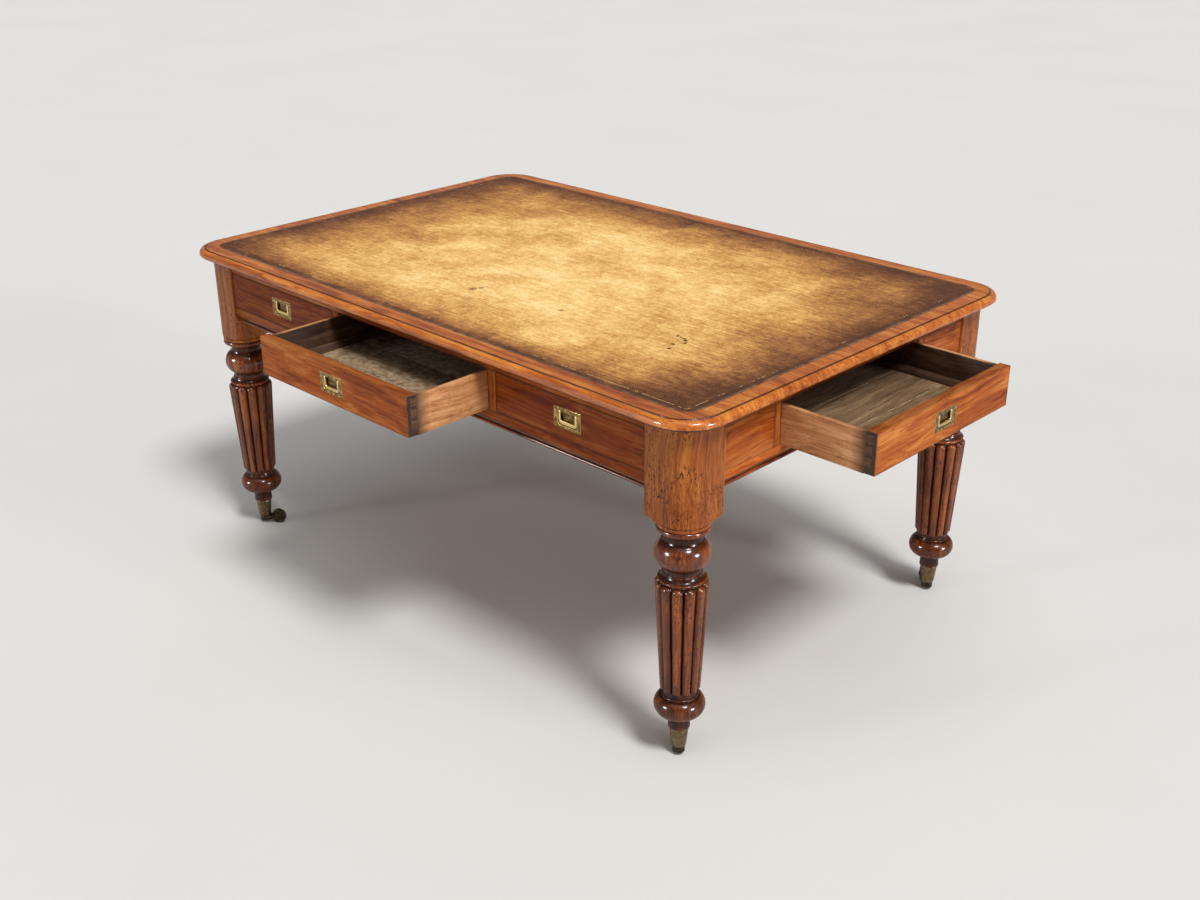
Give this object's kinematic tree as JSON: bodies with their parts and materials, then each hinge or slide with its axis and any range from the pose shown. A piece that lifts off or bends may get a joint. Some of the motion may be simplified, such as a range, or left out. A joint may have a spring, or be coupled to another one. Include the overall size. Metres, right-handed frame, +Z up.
{
  "type": "partners desk",
  "caption": "Partners writing desk with leather top, drawers on every side, flush brass handles, turned and reeded legs and brass casters.",
  "frame": {"origin": "on the floor under the middle of the top", "axes": "+X along the long side, front drawers face -Y, +Z up"},
  "size_m": [1.816, 1.252, 0.76],
  "materials": {
    "mahogany": "waxed",
    "leg_mahogany": "polished",
    "drawer_lining": "bare, aged",
    "carcass_pine": "bare, aged",
    "leather": "worn, tooled",
    "aged_brass": "aged",
    "iron": "dull"
  },
  "bodies": {
    "desk": {"top_board": "mahogany", "leather_inset": "leather", "top_rails": "mahogany", "bottom_rails": "mahogany", "base_beads": "mahogany", "long_stiles": "mahogany", "end_stiles": "mahogany", "end_panels": "mahogany", "drawer_runners": "carcass_pine", "drawer_guides": "carcass_pine", "drawer_kickers": "carcass_pine", "drawer_stops": "carcass_pine", "top_buttons": "carcass_pine", "button_screws": "iron", "caster_cups": "aged_brass", "leg_front_left": "leg_mahogany", "leg_front_right": "leg_mahogany", "leg_back_left": "leg_mahogany", "leg_back_right": "leg_mahogany"},
    "drawer_front_left": {"drawer_front_front_left": "mahogany", "drawer_box_front_left": "drawer_lining", "handle_plate_front_left": "aged_brass"},
    "bail_front_left": {"handle_bail_front_left": "aged_brass"},
    "drawer_front_middle": {"drawer_front_front_middle": "mahogany", "drawer_box_front_middle": "drawer_lining", "handle_plate_front_middle": "aged_brass"},
    "bail_front_middle": {"handle_bail_front_middle": "aged_brass"},
    "drawer_front_right": {"drawer_front_front_right": "mahogany", "drawer_box_front_right": "drawer_lining", "handle_plate_front_right": "aged_brass"},
    "bail_front_right": {"handle_bail_front_right": "aged_brass"},
    "drawer_back_left": {"drawer_front_back_left": "mahogany", "drawer_box_back_left": "drawer_lining", "handle_plate_back_left": "aged_brass"},
    "bail_back_left": {"handle_bail_back_left": "aged_brass"},
    "drawer_back_middle": {"drawer_front_back_middle": "mahogany", "drawer_box_back_middle": "drawer_lining", "handle_plate_back_middle": "aged_brass"},
    "bail_back_middle": {"handle_bail_back_middle": "aged_brass"},
    "drawer_back_right": {"drawer_front_back_right": "mahogany", "drawer_box_back_right": "drawer_lining", "handle_plate_back_right": "aged_brass"},
    "bail_back_right": {"handle_bail_back_right": "aged_brass"},
    "drawer_left_end": {"drawer_front_left_end": "mahogany", "drawer_box_left_end": "drawer_lining", "handle_plate_left_end": "aged_brass"},
    "bail_left_end": {"handle_bail_left_end": "aged_brass"},
    "drawer_right_end": {"drawer_front_right_end": "mahogany", "drawer_box_right_end": "drawer_lining", "handle_plate_right_end": "aged_brass"},
    "bail_right_end": {"handle_bail_right_end": "aged_brass"},
    "fork_front_left": {"caster_fork_front_left": "aged_brass"},
    "wheel_front_left": {"caster_wheel_front_left": "aged_brass"},
    "fork_front_right": {"caster_fork_front_right": "aged_brass"},
    "wheel_front_right": {"caster_wheel_front_right": "aged_brass"},
    "fork_back_left": {"caster_fork_back_left": "aged_brass"},
    "wheel_back_left": {"caster_wheel_back_left": "aged_brass"},
    "fork_back_right": {"caster_fork_back_right": "aged_brass"},
    "wheel_back_right": {"caster_wheel_back_right": "aged_brass"}
  },
  "joints": [
    {"name": "drawer_front_left_slide", "type": "slide", "parent": "desk", "child": "drawer_front_left", "axis": [0, -1, 0], "range_m": [0, 0.17]},
    {"name": "bail_front_left_swing", "type": "hinge", "parent": "drawer_front_left", "child": "bail_front_left", "pos_m": [-0.4765, -0.5014, 0.6783], "axis": [-1, 0, 0], "range_deg": [0, 90]},
    {"name": "drawer_front_middle_slide", "type": "slide", "parent": "desk", "child": "drawer_front_middle", "axis": [0, -1, 0], "range_m": [-0.205, 0.135]},
    {"name": "bail_front_middle_swing", "type": "hinge", "parent": "drawer_front_middle", "child": "bail_front_middle", "pos_m": [0, -0.7064, 0.6783], "axis": [-1, 0, 0], "range_deg": [0, 90]},
    {"name": "drawer_front_right_slide", "type": "slide", "parent": "desk", "child": "drawer_front_right", "axis": [0, -1, 0], "range_m": [0, 0.17]},
    {"name": "bail_front_right_swing", "type": "hinge", "parent": "drawer_front_right", "child": "bail_front_right", "pos_m": [0.4765, -0.5014, 0.6783], "axis": [-1, 0, 0], "range_deg": [0, 90]},
    {"name": "drawer_back_left_slide", "type": "slide", "parent": "desk", "child": "drawer_back_left", "axis": [0, 1, 0], "range_m": [0, 0.17]},
    {"name": "bail_back_left_swing", "type": "hinge", "parent": "drawer_back_left", "child": "bail_back_left", "pos_m": [-0.4765, 0.5014, 0.6783], "axis": [1, 0, 0], "range_deg": [0, 90]},
    {"name": "drawer_back_middle_slide", "type": "slide", "parent": "desk", "child": "drawer_back_middle", "axis": [0, 1, 0], "range_m": [0, 0.34]},
    {"name": "bail_back_middle_swing", "type": "hinge", "parent": "drawer_back_middle", "child": "bail_back_middle", "pos_m": [0, 0.5014, 0.6783], "axis": [1, 0, 0], "range_deg": [0, 90]},
    {"name": "drawer_back_right_slide", "type": "slide", "parent": "desk", "child": "drawer_back_right", "axis": [0, 1, 0], "range_m": [0, 0.17]},
    {"name": "bail_back_right_swing", "type": "hinge", "parent": "drawer_back_right", "child": "bail_back_right", "pos_m": [0.4765, 0.5014, 0.6783], "axis": [1, 0, 0], "range_deg": [0, 90]},
    {"name": "drawer_left_end_slide", "type": "slide", "parent": "desk", "child": "drawer_left_end", "axis": [-1, 0, 0], "range_m": [0, 0.33]},
    {"name": "bail_left_end_swing", "type": "hinge", "parent": "drawer_left_end", "child": "bail_left_end", "pos_m": [-0.7789, 0, 0.6783], "axis": [0, 1, 0], "range_deg": [0, 90]},
    {"name": "drawer_right_end_slide", "type": "slide", "parent": "desk", "child": "drawer_right_end", "axis": [1, 0, 0], "range_m": [-0.214, 0.116]},
    {"name": "bail_right_end_swing", "type": "hinge", "parent": "drawer_right_end", "child": "bail_right_end", "pos_m": [0.9929, 0, 0.6783], "axis": [0, -1, 0], "range_deg": [0, 90]},
    {"name": "caster_front_left_swivel", "type": "hinge", "parent": "desk", "child": "fork_front_left", "pos_m": [-0.7335, -0.456, 0.021], "axis": [0, 0, 1], "continuous": true},
    {"name": "wheel_front_left_spin", "type": "hinge", "parent": "fork_front_left", "child": "wheel_front_left", "pos_m": [-0.702, -0.43475, 0.019], "axis": [-0.5592, 0.829, 0], "continuous": true},
    {"name": "caster_front_right_swivel", "type": "hinge", "parent": "desk", "child": "fork_front_right", "pos_m": [0.7335, -0.456, 0.021], "axis": [0, 0, 1], "continuous": true},
    {"name": "wheel_front_right_spin", "type": "hinge", "parent": "fork_front_right", "child": "wheel_front_right", "pos_m": [0.70663, -0.42913, 0.019], "axis": [-0.7071, -0.7071, 0], "continuous": true},
    {"name": "caster_back_left_swivel", "type": "hinge", "parent": "desk", "child": "fork_back_left", "pos_m": [-0.7335, 0.456, 0.021], "axis": [0, 0, 1], "continuous": true},
    {"name": "wheel_back_left_spin", "type": "hinge", "parent": "fork_back_left", "child": "wheel_back_left", "pos_m": [-0.7269, 0.49342, 0.019], "axis": [-0.9848, 0.1736, 0], "continuous": true},
    {"name": "caster_back_right_swivel", "type": "hinge", "parent": "desk", "child": "fork_back_right", "pos_m": [0.7335, 0.456, 0.021], "axis": [0, 0, 1], "continuous": true},
    {"name": "wheel_back_right_spin", "type": "hinge", "parent": "fork_back_right", "child": "wheel_back_right", "pos_m": [0.70663, 0.48287, 0.019], "axis": [-0.7071, -0.7071, 0], "continuous": true}
  ]
}
